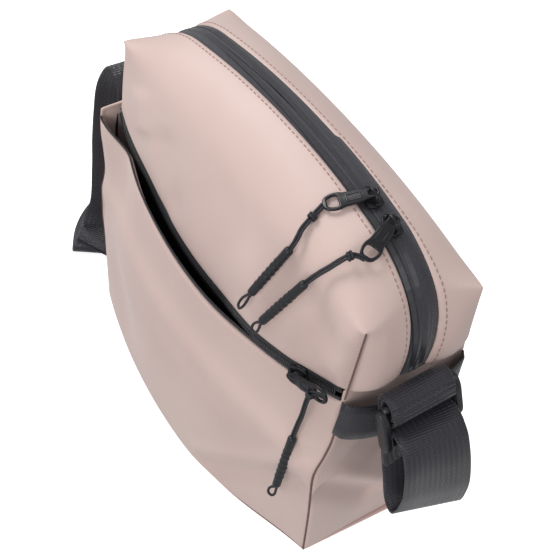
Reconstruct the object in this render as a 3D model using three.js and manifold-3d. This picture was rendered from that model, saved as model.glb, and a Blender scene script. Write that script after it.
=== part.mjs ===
// A soft crossbody sling bag: domed front with a zipped pocket, a zip over the crown and down both
// ends, webbing bands on the ends, and a webbing shoulder strap with a three-bar adjuster.
// Millimetres, +Z up. X runs along the bag, -Y is the front. The origin is the centre of the base.
import * as THREE from "three";
import { mergeVertices } from "three/addons/utils/BufferGeometryUtils.js";
import Module from "manifold-3d";

const wasm = await Module();
wasm.setup();

// ---- driving dimensions ----
const HALF_LENGTH = 120; // base, along X
const EAR_X = 125; // top corners
const EAR_Y = 36;
const EAR_Z = 205;
const BACK_Y = 44; // back face at the base
const BACK_BULGE = 5;
const SKIN = 2.2; // coated cloth, foam and lining together
const GAP = 0.4; // between neighbouring pieces
const CORNER_LIFT = 9; // the right end of the base curls up by this much

const CROWN_Z = 234; // top of the main zip's path
const CROWN_R = 423; // arc over the top
const SHOULDER_X = 84; // where the top arc turns into the end arcs
const SHOULDER_R = 54;
const ZIP_END_Z = 163; // the zip stops behind the webbing bands
const ZIP_HALF = 7.5; // half of the visible tape

const FRONT_R = 400; // the front's bulge in plan, over the whole length
const POCKET_Z = 156; // the pocket zip's height at its ends
const POCKET_R = 310; // its arc, in a plane that leans forward and down
const POCKET_LEAN = 44; // degrees below level
const POCKET_END_X = 112;
const GAPE_DROP = 9; // the open pocket edge hangs this much lower
const GAPE_OUT = 1.5; // and its cloth edge stands this much further forward
const POCKET_HALF = 4.2; // half of the pocket zip's width

const WEBBING = 38;
const WEB_T = 1.4;
const BAND_Z = 140.5; // centre height of the webbing bands on the ends
const BAND_X = 131.5;

const ADJUSTER = { x: 142.2, y: -1, z: 146, tilt: 15, pitch: 13.5, bar: 4.2, deep: 3, half: 26, side: 5 };

const SLIDER_A_X = 66;
const SLIDER_B_X = SHOULDER_X;
const POCKET_SLIDER_X = 93;
const CORD = 1.5; // zip-pull cord diameter

const RAD = Math.PI / 180;
const V = (x, y, z) => new THREE.Vector3(x, y, z);
const lerp = THREE.MathUtils.lerp;
const mix = (a, b, t) => a.clone().lerp(b, t);
const smooth = THREE.MathUtils.smoothstep;

// ---- materials ----
const paint = (color, roughness, metalness = 0) => new THREE.MeshStandardMaterial({ color, roughness, metalness });
const MATERIALS = {
  shell: paint(0xd8c0b8, 0.55),
  lining: paint(0x151517, 0.8),
  tape: paint(0x3b3d45, 0.7),
  coil: paint(0x17181b, 0.45),
  metal: paint(0x1b1c1f, 0.35, 0.8),
  webbing: paint(0x2c2c33, 0.6),
  cord: paint(0x24262c, 0.7),
  grip: paint(0x26282e, 0.5),
  plastic: paint(0x1f2024, 0.4),
};

const bag = new THREE.Group();
function add(name, geometry, material, parent = bag) {
  const mesh = new THREE.Mesh(geometry, MATERIALS[material]);
  mesh.name = name;
  parent.add(mesh);
  return mesh;
}

// ---- mesh helpers ----
function geometryFrom(points, triangles) {
  const geometry = new THREE.BufferGeometry();
  let volume = 0;
  for (const [a, b, c] of triangles) {
    volume += points[a].dot(points[b].clone().cross(points[c]));
  }
  const index = volume > 0 ? triangles.flat() : triangles.flatMap(([a, b, c]) => [a, c, b]);
  geometry.setAttribute("position", new THREE.Float32BufferAttribute(points.flatMap((p) => p.toArray()), 3));
  geometry.setIndex(index);
  geometry.computeVertexNormals();
  return geometry;
}

// A skin is a sheet of joined patches. Each patch maps u, v in 0..1 to a point.
function skinSolid(patches, thickness) {
  const points = [];
  const seen = new Map();
  const quads = [];
  const vertex = (p) => {
    const key = p.toArray().map((value) => Math.round(value * 50)).join();
    if (!seen.has(key)) {
      seen.set(key, points.length);
      points.push(p);
    }
    return seen.get(key);
  };
  for (const { at, nu, nv } of patches) {
    const grid = [];
    for (let i = 0; i <= nu; i++) {
      grid.push([]);
      for (let j = 0; j <= nv; j++) {
        grid[i].push(vertex(at(i / nu, j / nv)));
      }
    }
    for (let i = 0; i < nu; i++) {
      for (let j = 0; j < nv; j++) {
        quads.push([grid[i][j], grid[i + 1][j], grid[i + 1][j + 1], grid[i][j + 1]]);
      }
    }
  }
  const outer = quads.flatMap(([a, b, c, d]) => [[a, b, c], [a, c, d]]).filter((t) => new Set(t).size === 3);
  const normals = points.map(() => V(0, 0, 0));
  for (const t of outer) {
    const [a, b, c] = t.map((k) => points[k]);
    const normal = b.clone().sub(a).cross(c.clone().sub(a));
    t.forEach((k) => normals[k].add(normal));
  }
  const count = points.length;
  const inner = points.map((p, k) => p.clone().addScaledVector(normals[k].normalize(), -thickness));
  const edges = new Map();
  for (const [a, b, c] of outer) {
    for (const [from, to] of [[a, b], [b, c], [c, a]]) {
      edges.set(`${from},${to}`, [from, to]);
    }
  }
  const rim = [];
  for (const [from, to] of edges.values()) {
    if (!edges.has(`${to},${from}`)) {
      rim.push([to, from, from + count], [to, from + count, to + count]);
    }
  }
  const inside = outer.map(([a, b, c]) => [a + count, c + count, b + count]);
  return geometryFrom([...points, ...inner], [...outer, ...inside, ...rim]);
}

// Sweeps a convex section along stations of { p, side, up }; section points are [side, up] pairs.
function sweep(stations, section) {
  const points = [];
  const triangles = [];
  const n = section.length;
  for (const { p, side, up } of stations) {
    for (const [a, b] of section) {
      points.push(p.clone().addScaledVector(side, a).addScaledVector(up, b));
    }
  }
  for (let i = 0; i + 1 < stations.length; i++) {
    for (let k = 0; k < n; k++) {
      const a = i * n + k;
      const b = i * n + ((k + 1) % n);
      triangles.push([a, b, b + n], [a, b + n, a + n]);
    }
  }
  const last = (stations.length - 1) * n;
  for (let k = 1; k + 1 < n; k++) {
    triangles.push([0, k + 1, k], [last, last + k, last + k + 1]);
  }
  return geometryFrom(points, triangles);
}

const box = (s0, s1, u0, u1) => [[s0, u0], [s1, u0], [s1, u1], [s0, u1]];

function toSolid(geometry) {
  const plain = geometry.clone();
  plain.deleteAttribute("normal");
  plain.deleteAttribute("uv");
  const merged = mergeVertices(plain, 1e-4);
  return new wasm.Manifold(new wasm.Mesh({
    numProp: 3,
    vertProperties: new Float32Array(merged.attributes.position.array),
    triVerts: new Uint32Array(merged.index.array),
  }));
}

function fromSolid(solid) {
  const { vertProperties, triVerts } = solid.getMesh();
  const geometry = new THREE.BufferGeometry();
  geometry.setAttribute("position", new THREE.BufferAttribute(new Float32Array(vertProperties), 3));
  geometry.setIndex([...triVerts]);
  geometry.computeVertexNormals();
  return geometry;
}

function block(x, y, z, sx, sy, sz) {
  return new THREE.BoxGeometry(sx, sy, sz).translate(x, y, z);
}

// ---- the shape of the bag ----
// Eases through [z, value] pairs.
function profile(z, pairs) {
  for (let k = 1; k < pairs.length; k++) {
    if (z <= pairs[k][0]) {
      const t = (z - pairs[k - 1][0]) / (pairs[k][0] - pairs[k - 1][0]);
      return lerp(pairs[k - 1][1], pairs[k][1], smooth(t, 0, 1));
    }
  }
  return pairs.at(-1)[1];
}

const seamY = (z) => profile(z, [[0, 45], [60, 49], [95, 48], [112, 40.5], [POCKET_Z, 38.6], [EAR_Z, EAR_Y]]);
const halfX = (z) => profile(z, [[0, 119], [60, 121], [POCKET_Z, 121], [EAR_Z, EAR_X]]);
const domeShare = (z) => profile(z, [[0, 0.95], [60, 0.9], [145, 0.92], [180, 0.6], [EAR_Z, 0.25]]);
const footZ = (x) => CORNER_LIFT * smooth(x, 55, HALF_LENGTH);

// How far an arc of this radius stands off the chord between the two ends.
const rise = (radius, x) => {
  const chord = Math.sqrt(radius ** 2 - HALF_LENGTH ** 2);
  return Math.sqrt(radius ** 2 - Math.min(Math.abs(x), HALF_LENGTH) ** 2) - chord;
};
const domeAt = (x) => rise(FRONT_R, x);
const frontY = (x, z) => -(seamY(z) + domeShare(z) * domeAt(x));
const backY = (x, z) => lerp(BACK_Y, EAR_Y, smooth(z, 90, EAR_Z)) + BACK_BULGE * (1 - (x / EAR_X) ** 2);

// The main zip's path in the XZ plane, by distance from the crown.
const shoulderAngle = Math.asin(SHOULDER_X / CROWN_R);
const topLength = CROWN_R * shoulderAngle;
const shoulderLength = SHOULDER_R * (Math.PI / 2 - shoulderAngle);
const shoulderCentre = {
  x: SHOULDER_X - SHOULDER_R * Math.sin(shoulderAngle),
  z: CROWN_Z - CROWN_R + (CROWN_R - SHOULDER_R) * Math.cos(shoulderAngle),
};
const earDistance = topLength + shoulderLength / 2;
const pathLength = topLength + shoulderLength + shoulderCentre.z - ZIP_END_Z;
function zipPoint(distance) {
  const sign = Math.sign(distance) || 1;
  const s = Math.abs(distance);
  if (s <= topLength) {
    const angle = s / CROWN_R;
    const z = CROWN_Z - CROWN_R * (1 - Math.cos(angle));
    return { x: sign * CROWN_R * Math.sin(angle), z, angle: sign * angle };
  }
  const angle = Math.min(Math.PI / 2, shoulderAngle + (s - topLength) / SHOULDER_R);
  const x = shoulderCentre.x + SHOULDER_R * Math.sin(angle);
  const drop = Math.max(0, s - topLength - shoulderLength);
  return { x: sign * x, z: shoulderCentre.z + SHOULDER_R * Math.cos(angle) - drop, angle: sign * angle };
}

function zipStations(rows) {
  return Array.from({ length: rows + 1 }, (_, k) => {
    const { x, z, angle } = zipPoint(lerp(-pathLength + 4, pathLength - 4, k / rows));
    return { p: V(x, 0, z), side: V(0, 1, 0), up: V(Math.sin(angle), 0, Math.cos(angle)) };
  });
}

// ---- shell panels ----
// side is -1 for the front and 1 for the back; across runs -1..1 from the left end to the right.
function facePoint(across, z, side) {
  const x = across * halfX(z);
  return V(x, side < 0 ? frontY(x, z) : backY(x, z), z);
}
const ridgeZ = (across) => EAR_Z + 4 * (1 - across ** 2);
function zipEdge(distance, side) {
  const { x, z } = zipPoint(distance);
  return V(x, side * (ZIP_HALF + GAP), z);
}

function crownPoint(across, v, side) {
  const p = mix(facePoint(across, ridgeZ(across), side), zipEdge(across * earDistance, side), v);
  const swell = 24 * v * (1 - v) * (1 - across ** 6);
  return p.add(V(0, side * swell * 0.4, swell * 0.5));
}

// The strips beside the zip on the ends: u runs from the seam to the zip, v from the ear down.
function endPoint(end, u, v, side) {
  const seam = facePoint(end, lerp(EAR_Z, END_Z, v), side);
  return mix(seam, zipEdge(end * lerp(earDistance, pathLength, v), side), u);
}

// The pocket zip's line: an arc that leans forward and down from its ends.
const LEAN = { out: Math.cos(POCKET_LEAN * RAD), down: Math.sin(POCKET_LEAN * RAD) };
const lineZ = (x) => POCKET_Z - LEAN.down * rise(POCKET_R, x);
const EDGE = POCKET_HALF + GAP + 0.8; // from the line to the cloth
const END_Z = POCKET_Z + EDGE;
function shellHalf(side) {
  const across = (u) => lerp(-1, 1, side < 0 ? u : 1 - u);
  const bottom = (a) => (side < 0 ? lineZ(a * HALF_LENGTH) + EDGE : END_Z);
  return [
    { nu: 20, nv: 4, at: (u, v) => facePoint(across(u), lerp(bottom(across(u)), ridgeZ(across(u)), v), side) },
    { nu: 20, nv: 4, at: (u, v) => crownPoint(across(u), v, side) },
    { nu: 4, nv: 4, at: (u, v) => endPoint(across(1), u, 1 - v, side) },
    { nu: 4, nv: 4, at: (u, v) => endPoint(across(0), 1 - u, 1 - v, side) },
  ];
}

const onBack = (across, z) => facePoint(-across, z, 1);
add("front_panel_upper", skinSolid(shellHalf(-1), SKIN), "shell");
add("back_panel", skinSolid([
  { nu: 20, nv: 10, at: (u, v) => onBack(lerp(-1, 1, u), lerp(footZ(lerp(121, -121, u)), END_Z, v)) },
  ...shellHalf(1),
], SKIN), "shell");

// The open pocket edge sags and stands forward in the middle and left of centre.
const gape = (x) => smooth(x, -80, -30) * (1 - smooth(x, 10, 60));
const pocketTopZ = (x) => lineZ(x) - EDGE - GAPE_DROP * gape(x);
function pocketPoint(across, v) {
  const x = across * 121;
  const p = facePoint(across, lerp(footZ(x), pocketTopZ(x), v), -1);
  return p.add(V(0, -GAPE_OUT * gape(x) * smooth(v, 0.5, 1), 0));
}
add("pocket_panel", skinSolid([{ nu: 24, nv: 12, at: (u, v) => pocketPoint(lerp(-1, 1, u), v) }], SKIN), "shell");

// The pocket's rear wall hangs from behind its zip and drops back to the lining.
const WALL_Y = -30;
function wallPoint(u, v) {
  const x = lerp(-106, 106, u);
  const z = lerp(12, lineZ(x), v);
  const hung = smooth(z, lineZ(x) - 46, lineZ(x));
  return V(x, lerp(WALL_Y, frontY(x, z) + SKIN + 3.4, hung), z);
}
add("pocket_back_wall", skinSolid([{ nu: 20, nv: 12, at: wallPoint }], 1), "lining");

const INSET = SKIN + 4 * GAP;
const SIDE_TOP = END_Z - GAP;
function sidePoint(end, u, v) {
  const z = lerp(footZ(end * HALF_LENGTH) + 1, SIDE_TOP, v);
  const seam = halfX(z) - 0.6;
  const y = lerp(-(seamY(z) - INSET), backY(seam, z) - INSET, u);
  const dent = 3 * Math.sin(Math.PI * u) * Math.sin(Math.PI * v);
  return V(end * (seam - dent), y, z);
}
for (const [name, end] of [["side_panel_right", 1], ["side_panel_left", -1]]) {
  const at = (u, v) => sidePoint(end, end > 0 ? u : 1 - u, v);
  add(name, skinSolid([{ nu: 8, nv: 12, at }], SKIN - 0.6), "shell");
}

function basePoint(u, v) {
  const x = lerp(-116, 116, u);
  const y = lerp(frontY(x, 0) + INSET, backY(x, 0) - INSET, 1 - v);
  return V(x, y, footZ(x));
}
add("base_panel", skinSolid([{ nu: 24, nv: 6, at: basePoint }], SKIN - 0.6), "shell");

// ---- main zip ----
const TOOTH = { in: 1.3, out: 4.2, low: -1.9, high: -0.3 };
for (const [name, side] of [["front", -1], ["back", 1]]) {
  const strip = (inner, outer, low, high) => (side < 0 ? box(-outer, -inner, low, high) : box(inner, outer, low, high));
  const tape = sweep(zipStations(56), strip(TOOTH.in, ZIP_HALF, 0, 0.7));
  add(`main_zip_tape_${name}`, tape, "tape");
  add(`main_zip_coil_${name}`, sweep(zipStations(56), strip(TOOTH.in, TOOTH.out, TOOTH.low, TOOTH.high)), "coil");
}

// ---- pocket zip ----
const pocketAxis = V(0, -LEAN.down, LEAN.out);
const pocketChord = Math.sqrt(POCKET_R ** 2 - HALF_LENGTH ** 2);
const pocketCentre = V(0, -seamY(POCKET_Z) + pocketChord * LEAN.out, POCKET_Z + pocketChord * LEAN.down);
function pocketFrame(x) {
  const turn = new THREE.Quaternion().setFromAxisAngle(pocketAxis, Math.asin(x / POCKET_R));
  const p = V(0, -LEAN.out, -LEAN.down).multiplyScalar(POCKET_R).applyQuaternion(turn).add(pocketCentre);
  return { p, turn, side: V(0, 0, 1).applyQuaternion(turn), up: V(0, -1, 0).applyQuaternion(turn) };
}
function pocketStations(rows, lower) {
  return Array.from({ length: rows + 1 }, (_, k) => {
    const station = pocketFrame(lerp(-POCKET_END_X, POCKET_END_X, k / rows));
    const open = lower ? gape(station.p.x) : 0;
    station.p.z -= GAPE_DROP * open;
    return station;
  });
}
for (const [name, side] of [["lower", -1], ["upper", 1]]) {
  const strip = (inner, outer, low, high) => (side < 0 ? box(-outer, -inner, low, high) : box(inner, outer, low, high));
  const rail = pocketStations(30, side < 0);
  add(`pocket_zip_tape_${name}`, sweep(rail, strip(TOOTH.in, POCKET_HALF, -1.0, -0.4)), "tape");
  add(`pocket_zip_coil_${name}`, sweep(rail, strip(TOOTH.in, 3.6, -0.1, 1.3)), "coil");
}

// ---- sliders, pulls, cords and grips ----
// Each is drawn lying on a flat zip: X is the travel, -Y the way the pull lies, +Z away from the bag.
const HINGE_UP = 5.3; // height of the bridge bar above the zip
const PULL_DIP = 12; // the crown pulls lie this many degrees below level
const PULL_HOLE = 23.5;
const rod = (r, length, sides = 12) => new THREE.CylinderGeometry(r, r, length, sides).rotateZ(Math.PI / 2);

function sliderSolid() {
  const parts = [
    block(0, 0, 2.1, 11, 9, 1.4),
    block(0, 0, -3.3, 11, 9, 1.4),
    block(3.5, 0, -0.6, 3, 1.4, 6),
    block(-3.3, 0, 4.3, 1.4, 1.6, 3.4),
    block(3.3, 0, 4.3, 1.4, 1.6, 3.4),
    rod(0.7, 8).translate(0, 0, HINGE_UP),
  ];
  return fromSolid(parts.map(toSolid).reduce((all, part) => all.add(part)));
}

function pullSolid(dip) {
  const tongue = block(0, -13.6, 0, 5, 23.6, 1.6);
  const solid = toSolid(rod(2.1, 4.4, 20)).add(toSolid(tongue)).subtract(toSolid(rod(1.1, 12, 20)));
  const hole = new THREE.CylinderGeometry(1.3, 1.3, 4, 16).rotateX(Math.PI / 2).translate(0, -PULL_HOLE, 0);
  const lifted = fromSolid(solid.subtract(toSolid(hole)));
  return lifted.rotateX(dip * RAD).translate(0, 0, HINGE_UP);
}

function tube(points, radius) {
  const curve = new THREE.CatmullRomCurve3(points);
  const circle = new THREE.Shape().absarc(0, 0, radius, 0, 2 * Math.PI);
  const options = { steps: points.length * 4, curveSegments: 4, extrudePath: curve, bevelEnabled: false };
  return new THREE.ExtrudeGeometry(circle, options);
}

// The cord rises through the pull's hole and runs along cordPath to the grip.
function dressSlider(tag, dip, cordPath, place) {
  const threaded = [V(0, 0, -1.5), V(0, 0, 0.6), V(0, -0.8, 1.9), V(0, -3.5, 2)].map((p) => {
    return p.add(V(0, -PULL_HOLE, 0)).applyAxisAngle(V(1, 0, 0), dip * RAD).add(V(0, 0, HINGE_UP));
  });
  const path = [...threaded, ...cordPath];
  const heading = path.at(-1).clone().sub(path.at(-2)).normalize();
  const from = path.at(-1).clone().addScaledVector(heading, 0.5);
  const to = from.clone().addScaledVector(heading, 33);
  const tip = to.clone().addScaledVector(heading, 0.5);
  const grip = tube([from, mix(from, to, 0.5), to], 2.6);
  const loop = [0, 4, 9, 11, 9, 4, 0].map((t, k) => {
    const wide = [-0.95, -1.6, -2.2, 0, 2.2, 1.6, 0.95][k];
    return tip.clone().addScaledVector(heading, t).add(V(wide, 0, 0));
  });
  const pieces = [
    ["slider", sliderSolid(), "metal"],
    ["pull", pullSolid(dip), "metal"],
    ["cord", tube(path, CORD / 2), "cord"],
    ["cord_loop", tube(loop, CORD / 2), "cord"],
    ["grip", grip, "grip"],
  ];
  for (const [kind, geometry, material] of pieces) {
    add(`${tag}_${kind}`, geometry.applyMatrix4(place), material);
  }
}

function mainPlace(distance) {
  const { x, z, angle } = zipPoint(distance);
  return new THREE.Matrix4().makeRotationY(angle).setPosition(x, 0, z);
}
const OVER_FRONT = [V(0, -34, 2), V(0, -44, -5), V(0, -51, -15), V(0, -54, -26)];
dressSlider("main_a", PULL_DIP, OVER_FRONT, mainPlace(CROWN_R * Math.asin(SLIDER_A_X / CROWN_R)));
dressSlider("main_b", PULL_DIP, OVER_FRONT, mainPlace(CROWN_R * Math.asin(SLIDER_B_X / CROWN_R)));

// The pocket's slider is the same, turned so that the bag's down is its -Y.
const pocketRest = pocketFrame(POCKET_SLIDER_X);
const pocketPlace = new THREE.Matrix4().makeRotationFromQuaternion(pocketRest.turn)
  .multiply(new THREE.Matrix4().makeRotationX(Math.PI / 2))
  .setPosition(pocketRest.p);
dressSlider("pocket", -5, [V(0, -34, 11), V(0, -43, 14), V(0, -51, 15.2)], pocketPlace);

// ---- webbing bands on the ends ----
for (const [name, end] of [["tab_webbing_right", 1], ["tab_webbing_left", -1]]) {
  const rows = Array.from({ length: 13 }, (_, k) => {
    const t = k / 12;
    const x = end * (lerp(122.6, BAND_X, Math.sin(Math.PI * t) ** 0.25));
    return { p: V(x, lerp(-36, 36, t), BAND_Z), side: V(0, 0, 1), up: V(end, 0, 0) };
  });
  add(name, sweep(rows, box(-14.5, 14.5, 0, WEB_T)), "webbing");
}

// ---- the three-bar adjuster ----
const A = ADJUSTER;
function adjusterPoint(out, up) {
  const tilt = A.tilt * RAD;
  return [A.x + out * Math.cos(tilt) - up * Math.sin(tilt), A.z + out * Math.sin(tilt) + up * Math.cos(tilt)];
}
const adjusterPlace = new THREE.Matrix4().makeRotationY(-A.tilt * RAD).setPosition(A.x, A.y, A.z);
const outerHeight = 2 * A.pitch + A.bar;
const slotHeight = A.pitch - A.bar;
const slot = (up) => toSolid(block(0, 0, up, 10, 2 * (A.half - A.side), slotHeight));
const frame = toSolid(block(0, 0, 0, A.deep, 2 * A.half, outerHeight))
  .subtract(slot(A.pitch / 2)).subtract(slot(-A.pitch / 2));
add("tri_glide", fromSolid(frame).applyMatrix4(adjusterPlace), "plastic");

// The strap's end, sewn round the middle bar.
const wrapIn = 0.3;
const wrapOuter = block(0, 0, 0, A.deep + 2 * (wrapIn + WEB_T), WEBBING, A.bar + 2 * (wrapIn + WEB_T));
const wrapInner = block(0, 0, 0, A.deep + 2 * wrapIn, WEBBING + 2, A.bar + 2 * wrapIn);
const wrap = toSolid(wrapOuter).subtract(toSolid(wrapInner));
add("strap_end_wrap", fromSolid(wrap).applyMatrix4(adjusterPlace), "webbing");

// ---- the shoulder strap, one length of webbing in four runs ----
// Flat runs keep their width along Y and are drawn from [x, z] points.
function flatRun(points, y, width = WEBBING) {
  const curve = new THREE.CatmullRomCurve3(points.map(([x, z, dy = 0]) => V(x, y + dy, z)), false, "centripetal");
  const rows = points.length * 4;
  const stations = Array.from({ length: rows + 1 }, (_, k) => {
    const tangent = curve.getTangentAt(k / rows);
    const side = V(0, 1, 0).addScaledVector(tangent, -tangent.y).normalize();
    return { p: curve.getPointAt(k / rows), side, up: side.clone().cross(tangent) };
  });
  return sweep(stations, box(-width / 2, width / 2, -WEB_T / 2, WEB_T / 2));
}

const slotY = A.y;
const loopPoints = [
  adjusterPoint(0.2, -7.2), adjusterPoint(3.3, -8.6), adjusterPoint(4.2, -14), [155, 124], [160.5, 112], [161, 100],
  [157.5, 84], [150, 70], [143, 65], [136.5, 69], [132, 82], [129.3, 104], [128.9, 124], [128.9, 146], [129.4, 160],
  [132, 167], [137, 168.5], adjusterPoint(2.6, 21), adjusterPoint(4.0, 15), adjusterPoint(2.8, 10.2),
  adjusterPoint(0.2, 7.6),
];
add("strap_right_loop", flatRun(loopPoints, slotY), "webbing");

const dropPoints = [adjusterPoint(-3.6, -10), adjusterPoint(-3.6, -17), [141.5, 118], [140, 100], [139.5, 84]];
add("strap_right_drop", flatRun(dropPoints, slotY), "webbing");

const leftPoints = [
  [-129.8, 157], [-130.6, 164], [-134, 170.5], [-142, 171.5], [-150, 161], [-157, 145], [-160, 125],
  [-162, 99], [-162, 75], [-165, 38], [-167.5, 19], [-170, 5],
];
add("strap_left_drop", flatRun(leftPoints, -15.5), "webbing");

// Behind the bag the strap stands on its edge.
const runCurve = new THREE.CatmullRomCurve3([
  V(139, 21, 55), V(139, 42, 52), V(133, 66, 42), V(105, 84, 30), V(55, 92, 22), V(0, 94, 19.6), V(-70, 92, 19.6),
  V(-130, 80, 19.6), V(-168, 55, 19.6), V(-182, 25, 19.6), V(-186, -5, 19.6), V(-184, -25, 19.6),
]);
const runRows = 44;
const runStations = Array.from({ length: runRows + 1 }, (_, k) => {
  const tangent = runCurve.getTangentAt(k / runRows);
  const side = V(0, 0, 1).addScaledVector(tangent, -tangent.z).normalize();
  return { p: runCurve.getPointAt(k / runRows), side, up: side.clone().cross(tangent) };
});
add("strap_back_run", sweep(runStations, box(-WEBBING / 2, WEBBING / 2, -WEB_T / 2, WEB_T / 2)), "webbing");

export default bag;
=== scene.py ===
"""The sling bag's looks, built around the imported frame. Lengths are in millimetres until a mesh is made."""

import math

import bmesh
import bpy
import numpy as np
from mathutils import Matrix, Vector, kdtree


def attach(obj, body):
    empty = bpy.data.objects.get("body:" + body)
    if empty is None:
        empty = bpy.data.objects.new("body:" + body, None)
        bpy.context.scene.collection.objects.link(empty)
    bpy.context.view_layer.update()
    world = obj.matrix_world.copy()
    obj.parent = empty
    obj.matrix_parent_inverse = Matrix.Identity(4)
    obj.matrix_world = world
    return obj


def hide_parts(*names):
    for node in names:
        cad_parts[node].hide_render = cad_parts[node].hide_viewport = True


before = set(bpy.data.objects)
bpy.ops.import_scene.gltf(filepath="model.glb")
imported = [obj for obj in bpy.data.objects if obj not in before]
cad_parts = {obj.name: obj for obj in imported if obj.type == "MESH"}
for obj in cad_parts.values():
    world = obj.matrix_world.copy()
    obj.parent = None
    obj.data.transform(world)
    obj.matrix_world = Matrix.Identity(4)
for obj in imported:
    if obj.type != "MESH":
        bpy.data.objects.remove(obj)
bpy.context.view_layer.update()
MM = 0.001

# ---- dimensions ----
HALF_LENGTH = 120
EAR_X = 125
EAR_Z = 205
FRONT_R = 400
CORNER_LIFT = 12
CROWN_Z = 234
CROWN_R = 423
SHOULDER_X = 84
SHOULDER_R = 54
ZIP_END_Z = 163
ZIP_HALF = 7.5
POCKET_Z = 156
POCKET_R = 310
POCKET_LEAN = math.radians(44)
POCKET_EDGE = 3.6
BAND_Z = 140.5
BAND_X = 131.5
BAND_HALF = 14.5
WEBBING = 38
WEB_T = 1.4
SLIDER_X = {"main_a": 66, "main_b": 84, "pocket": 93}
ADJUSTER = Vector((142, -4.9, 148.9))
ADJUSTER_TILT = math.radians(15)


# ---- number helpers ----
def smooth(value, low, high):
    t = np.clip((np.asarray(value, float) - low) / (high - low), 0, 1)
    return t * t * (3 - 2 * t)


def lerp(a, b, t):
    return a + (b - a) * t


def curve_through(z, knots):
    """A smooth curve through (z, value) knots."""
    zs, vs = np.array(knots, float).T
    slopes = np.gradient(vs, zs)
    z = np.clip(np.asarray(z, float), zs[0], zs[-1])
    i = np.clip(np.searchsorted(zs, z) - 1, 0, len(zs) - 2)
    h = zs[i + 1] - zs[i]
    t = (z - zs[i]) / h
    rise_part = (2 * t**3 - 3 * t**2 + 1) * vs[i] + (3 * t**2 - 2 * t**3) * vs[i + 1]
    return rise_part + h * ((t**3 - 2 * t**2 + t) * slopes[i] + (t**3 - t**2) * slopes[i + 1])


def stack(x, y, z):
    return np.stack(np.broadcast_arrays(x, y, z), -1).astype(float)


def unit(v):
    return v / np.maximum(np.linalg.norm(v, axis=-1, keepdims=True), 1e-9)


# ---- the bag's form ----
def seam_y(z):
    knots = [(0, 44), (50, 47), (84, 49), (98, 47.5), (110, 42.5), (125, 39.8), (156, 38.6), (205, 36)]
    return curve_through(z, knots)


def half_x(z):
    return curve_through(z, [(0, 118), (60, 121), (156, 121.5), (205, 125)])


def rise(radius, x):
    chord = math.sqrt(radius**2 - HALF_LENGTH**2)
    return np.sqrt(radius**2 - np.minimum(np.abs(x), HALF_LENGTH) ** 2) - chord


def front_y(x, z):
    knots = [(0, 1.0), (30, 1.0), (80, 0.92), (145, 0.92), (180, 0.55), (205, 0.22), (210, 0.2)]
    share = curve_through(z, knots)
    return -(seam_y(z) + share * rise(FRONT_R, x))


def back_y(x, z):
    return lerp(44, 36, smooth(z, 90, EAR_Z)) + 5 * (1 - (x / EAR_X) ** 2)


def foot_z(x):
    return CORNER_LIFT * smooth(x, 52, HALF_LENGTH)


def line_z(x):
    return POCKET_Z - math.sin(POCKET_LEAN) * rise(POCKET_R, x)


def gape(x):
    return smooth(x, -108, -62) * (1 - smooth(x, 15, 62))


SHOULDER_ANGLE = math.asin(SHOULDER_X / CROWN_R)
TOP_LENGTH = CROWN_R * SHOULDER_ANGLE
SHOULDER_LENGTH = SHOULDER_R * (math.pi / 2 - SHOULDER_ANGLE)
SHOULDER_CX = SHOULDER_X - SHOULDER_R * math.sin(SHOULDER_ANGLE)
SHOULDER_CZ = CROWN_Z - CROWN_R + (CROWN_R - SHOULDER_R) * math.cos(SHOULDER_ANGLE)
EAR_DISTANCE = TOP_LENGTH + SHOULDER_LENGTH / 2
PATH_LENGTH = TOP_LENGTH + SHOULDER_LENGTH + SHOULDER_CZ - ZIP_END_Z


def zip_path(distance):
    """x, z and lean angle of the main zip, by distance from the crown."""
    s = np.abs(distance)
    sign = np.where(np.asarray(distance) < 0, -1.0, 1.0)
    top = s / CROWN_R
    turn = np.clip(SHOULDER_ANGLE + (s - TOP_LENGTH) / SHOULDER_R, SHOULDER_ANGLE, math.pi / 2)
    drop = np.maximum(0, s - TOP_LENGTH - SHOULDER_LENGTH)
    on_top = s <= TOP_LENGTH
    x = np.where(on_top, CROWN_R * np.sin(top), SHOULDER_CX + SHOULDER_R * np.sin(turn))
    z_top = CROWN_Z - CROWN_R * (1 - np.cos(top))
    z = np.where(on_top, z_top, SHOULDER_CZ + SHOULDER_R * np.cos(turn) - drop)
    return sign * x, z, sign * np.where(on_top, top, turn)


def zip_drift(distance):
    """The zip wanders a little off the bag's middle plane."""
    left = [(-175, -2.5), (-80, -1.5), (-40, 0.3), (0, 1.8)]
    knots = left + [(50, 3.2), (95, 3.2), (130, 3.6), (150, 1.5), (175, -3)]
    return curve_through(distance, knots)


def corner_flare(across, z):
    """The pocket's top left corner stands away from the bag."""
    amount = smooth(-np.asarray(across, float), 0.74, 1) * smooth(z, 78, 150)
    return stack(-3.4 * amount, -10.8 * amount, 0 * amount)


def face_point(across, z, side):
    x = across * half_x(z)
    return stack(x, front_y(x, z) if side < 0 else back_y(x, z), z)


def ridge_z(across):
    return EAR_Z + 4 * (1 - across**2)


def zip_edge(distance, side):
    x, z, _ = zip_path(distance)
    return stack(x, side * (ZIP_HALF + 0.4) + zip_drift(distance), z)


def crown_point(across, v, side):
    ridge = face_point(across, ridge_z(across), side)
    p = lerp(ridge, zip_edge(across * EAR_DISTANCE, side), v[..., None])
    swell = 26 * v * (1 - v) * (1 - across**6)
    return p + stack(0 * swell, side * swell * 0.42, swell * 0.5)


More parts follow.
